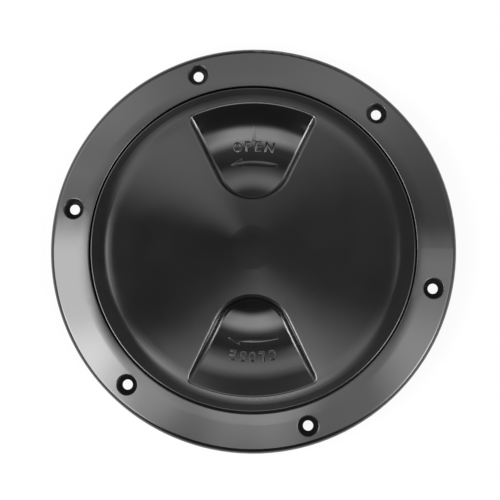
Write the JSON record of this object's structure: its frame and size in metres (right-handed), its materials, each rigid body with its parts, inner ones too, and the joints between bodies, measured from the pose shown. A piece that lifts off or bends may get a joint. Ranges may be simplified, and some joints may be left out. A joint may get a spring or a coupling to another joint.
{
  "type": "inspection cover",
  "caption": "Round screw-in inspection cover: a sloped flange with countersunk holes and a threaded collar, and a low conical lid with scooped finger recesses.",
  "frame": {"origin": "centre of the screw-hole circle in the flange's underside, the plane of the deck", "axes": "+Z along the cover's axis, out of the deck; +Y towards the finger recess marked OPEN when the lid is shut"},
  "size_m": [0.2, 0.2, 0.0277],
  "materials": {
    "black_plastic": "satin to gloss, as moulded",
    "seal_rubber": "matte"
  },
  "bodies": {
    "ring": {"deck_ring": "black_plastic"},
    "seal": {"o_ring_seal": "seal_rubber"},
    "lid": {"screw_lid": "black_plastic"}
  },
  "joints": [
    {"name": "lid_rise", "type": "slide", "parent": "ring", "child": "seal", "axis": [0, 0, 1], "range_m": [0, 0.025]},
    {"name": "lid_turn", "type": "hinge", "parent": "seal", "child": "lid", "pos_m": [0, 0, 0], "axis": [0, 0, 1], "range_deg": [0, 1800]}
  ],
  "couplings": [
    {"joint": "lid_rise", "follows": "lid_turn", "m_per_rad": 0.00079577}
  ]
}
